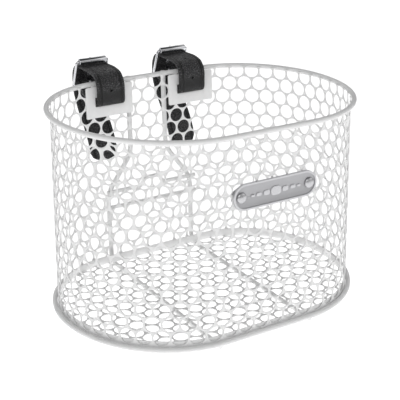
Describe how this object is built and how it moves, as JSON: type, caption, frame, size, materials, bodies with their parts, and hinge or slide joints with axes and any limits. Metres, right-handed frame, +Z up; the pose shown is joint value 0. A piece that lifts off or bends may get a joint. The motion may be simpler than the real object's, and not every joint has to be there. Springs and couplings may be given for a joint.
{
  "type": "bicycle handlebar basket",
  "caption": "Oval perforated-steel handlebar basket on a welded wire frame, with bracket plates, buckled leather straps and a badge.",
  "frame": {"origin": "middle of the whole object's footprint, on the surface that the runners stand on", "axes": "+Z up, +X to the object's right across the handlebar as seen from its front, +Y to the rear, towards the handlebar and the straps"},
  "size_m": [0.3438, 0.3104, 0.2447],
  "materials": {
    "white_powder_coat": "satin",
    "black_leather": "pebbled, semi-matt",
    "chrome_plate": "polished",
    "cast_nickel": "satin"
  },
  "bodies": {
    "basket": {"rim_wire": "white_powder_coat", "base_hoop": "white_powder_coat", "wall_sheet": "white_powder_coat", "base_panel": "white_powder_coat", "cross_wire_lower": "white_powder_coat", "cross_wire_upper": "white_powder_coat", "support_wire_left": "white_powder_coat", "support_wire_right": "white_powder_coat", "bracket_plate_left": "white_powder_coat", "bracket_plate_right": "white_powder_coat", "strap_loop_left": "black_leather", "strap_loop_right": "black_leather", "strap_rivet_left": "cast_nickel", "strap_rivet_right": "cast_nickel", "buckle_frame_left": "chrome_plate", "buckle_frame_right": "chrome_plate", "badge_plate": "cast_nickel", "badge_rivet_left": "cast_nickel", "badge_rivet_right": "cast_nickel", "badge_washer_left": "cast_nickel", "badge_washer_right": "cast_nickel"},
    "roller_left": {"buckle_roller_left": "chrome_plate"},
    "roller_right": {"buckle_roller_right": "chrome_plate"},
    "tongue_left": {"buckle_tongue_left": "chrome_plate"},
    "tongue_right": {"buckle_tongue_right": "chrome_plate"},
    "tail_left": {"strap_tail_left": "black_leather"},
    "tail_right": {"strap_tail_right": "black_leather"}
  },
  "joints": [
    {"name": "roller_spin_left", "type": "hinge", "parent": "basket", "child": "roller_left", "pos_m": [-0.0525, 0.1337, 0.241], "axis": [1, 0, 0], "continuous": true},
    {"name": "roller_spin_right", "type": "hinge", "parent": "basket", "child": "roller_right", "pos_m": [0.0525, 0.1337, 0.241], "axis": [1, 0, 0], "continuous": true},
    {"name": "tongue_lift_left", "type": "hinge", "parent": "basket", "child": "tongue_left", "pos_m": [-0.0525, 0.1462, 0.2118], "axis": [-1, 0, 0], "range_deg": [0, 6]},
    {"name": "tongue_lift_right", "type": "hinge", "parent": "basket", "child": "tongue_right", "pos_m": [0.0525, 0.1462, 0.2118], "axis": [-1, 0, 0], "range_deg": [0, 6]},
    {"name": "tail_swing_left", "type": "hinge", "parent": "basket", "child": "tail_left", "pos_m": [-0.0525, 0.1537, 0.2107], "axis": [1, 0, 0], "range_deg": [0, 75]},
    {"name": "tail_swing_right", "type": "hinge", "parent": "basket", "child": "tail_right", "pos_m": [0.0525, 0.1537, 0.2107], "axis": [1, 0, 0], "range_deg": [0, 75]}
  ]
}
